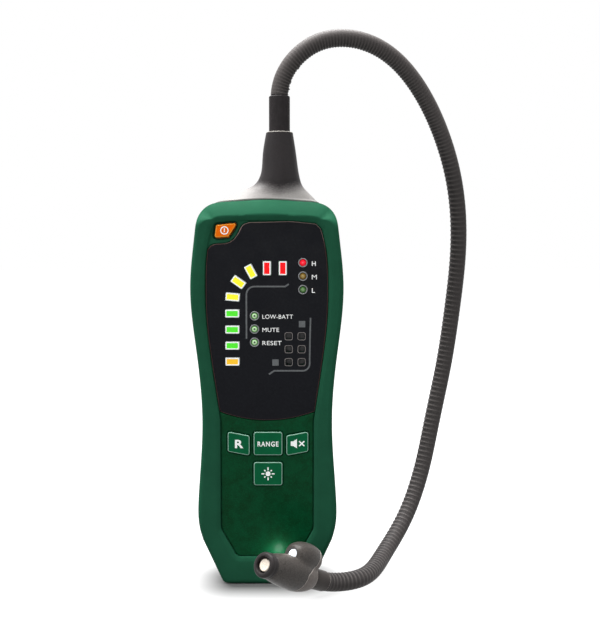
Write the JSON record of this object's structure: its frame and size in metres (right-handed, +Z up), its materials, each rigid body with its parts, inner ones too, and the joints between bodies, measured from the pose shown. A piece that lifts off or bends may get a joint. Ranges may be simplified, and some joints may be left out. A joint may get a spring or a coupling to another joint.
{
  "type": "refrigerant leak detector",
  "caption": "Handheld refrigerant leak detector with a waisted two-shell case, light bars, keys, a gooseneck probe and a lamp-lit sensor head.",
  "frame": {"origin": "middle of the flat base that the instrument stands on", "axes": "+Z up, the display side faces -Y, the gooseneck loops out on the +X side"},
  "size_m": [0.1435, 0.1257, 0.2734],
  "materials": {
    "green_case": "fine-textured moulded plastic, dark green",
    "green_panel": "finely grained overlay, deep green",
    "green_key": "smooth green key with a paler outline",
    "black_window": "glossy dark window",
    "orange_key": "orange moulded key",
    "black_part": "plain black plastic",
    "board_green": "green circuit board",
    "amber_lens": "amber light",
    "green_lens": "green light",
    "yellow_lens": "yellow light",
    "red_lens": "red light",
    "white_lens": "white lamp, lit",
    "cell_wrap": "plain printed battery wrap",
    "spring_steel": "plated steel",
    "grey_plastic": "fine-textured dark grey plastic",
    "black_rubber": "dark grey rubbery sleeve, satin",
    "head_plastic": "warm grey moulded plastic, satin",
    "sensor_mesh": "pale porous filter"
  },
  "bodies": {
    "instrument": {"front_housing": "green_case", "rear_housing": "green_case", "display_window": "black_window", "keypad_panel": "green_panel", "power_switch": "black_part", "reset_switch": "black_part", "range_switch": "black_part", "mute_switch": "black_part", "light_switch": "black_part", "circuit_board": "board_green", "bar_light_1": "amber_lens", "bar_light_2": "green_lens", "bar_light_3": "green_lens", "bar_light_4": "green_lens", "bar_light_5": "yellow_lens", "bar_light_6": "yellow_lens", "bar_light_7": "yellow_lens", "bar_light_8": "red_lens", "bar_light_9": "red_lens", "high_lamp": "red_lens", "medium_lamp": "amber_lens", "low_lamp": "green_lens", "battery_lamp": "green_lens", "mute_lamp": "green_lens", "reset_lamp": "green_lens", "sounder": "black_part", "cell_lower_left": "cell_wrap", "cell_upper_left": "cell_wrap", "cell_lower_right": "cell_wrap", "cell_upper_right": "cell_wrap", "contact_spring_left": "spring_steel", "contact_spring_right": "spring_steel", "contact_plate_left": "spring_steel", "contact_plate_right": "spring_steel", "contact_bridge": "spring_steel", "housing_screw_lower_left": "spring_steel", "housing_screw_lower_right": "spring_steel", "housing_screw_upper_left": "spring_steel", "housing_screw_upper_right": "spring_steel", "neck_cone": "grey_plastic", "base_collar": "black_rubber", "gooseneck": "black_rubber", "tip_ferrule": "black_rubber", "head_rear_shell": "head_plastic", "head_front_shell": "head_plastic", "sensor": "sensor_mesh", "head_lamp": "white_lens"},
    "power_key": {"power_key": "orange_key"},
    "reset_key": {"reset_key": "green_key"},
    "range_key": {"range_key": "green_key"},
    "mute_key": {"mute_key": "green_key"},
    "light_key": {"light_key": "green_key"},
    "battery_door": {"battery_door": "green_case"},
    "sensor_cap": {"sensor_cap": "black_rubber"}
  },
  "joints": [
    {"name": "power_press", "type": "slide", "parent": "instrument", "child": "power_key", "axis": [0, 1, 0], "range_m": [0, 0.0007], "stiffness_N_per_m": 1500},
    {"name": "reset_press", "type": "slide", "parent": "instrument", "child": "reset_key", "axis": [0, 1, 0], "range_m": [0, 0.0007], "stiffness_N_per_m": 1500},
    {"name": "range_press", "type": "slide", "parent": "instrument", "child": "range_key", "axis": [0, 1, 0], "range_m": [0, 0.0007], "stiffness_N_per_m": 1500},
    {"name": "mute_press", "type": "slide", "parent": "instrument", "child": "mute_key", "axis": [0, 1, 0], "range_m": [0, 0.0007], "stiffness_N_per_m": 1500},
    {"name": "light_press", "type": "slide", "parent": "instrument", "child": "light_key", "axis": [0, 1, 0], "range_m": [0, 0.0007], "stiffness_N_per_m": 1500},
    {"name": "battery_door_swing", "type": "hinge", "parent": "instrument", "child": "battery_door", "pos_m": [0, 0.0205, 0.0097], "axis": [-1, 0, 0], "range_deg": [0, 80]},
    {"name": "sensor_cap_off", "type": "slide", "parent": "instrument", "child": "sensor_cap", "axis": [-0.5849, -0.6999, 0.4099], "range_m": [0, 0.012]}
  ]
}
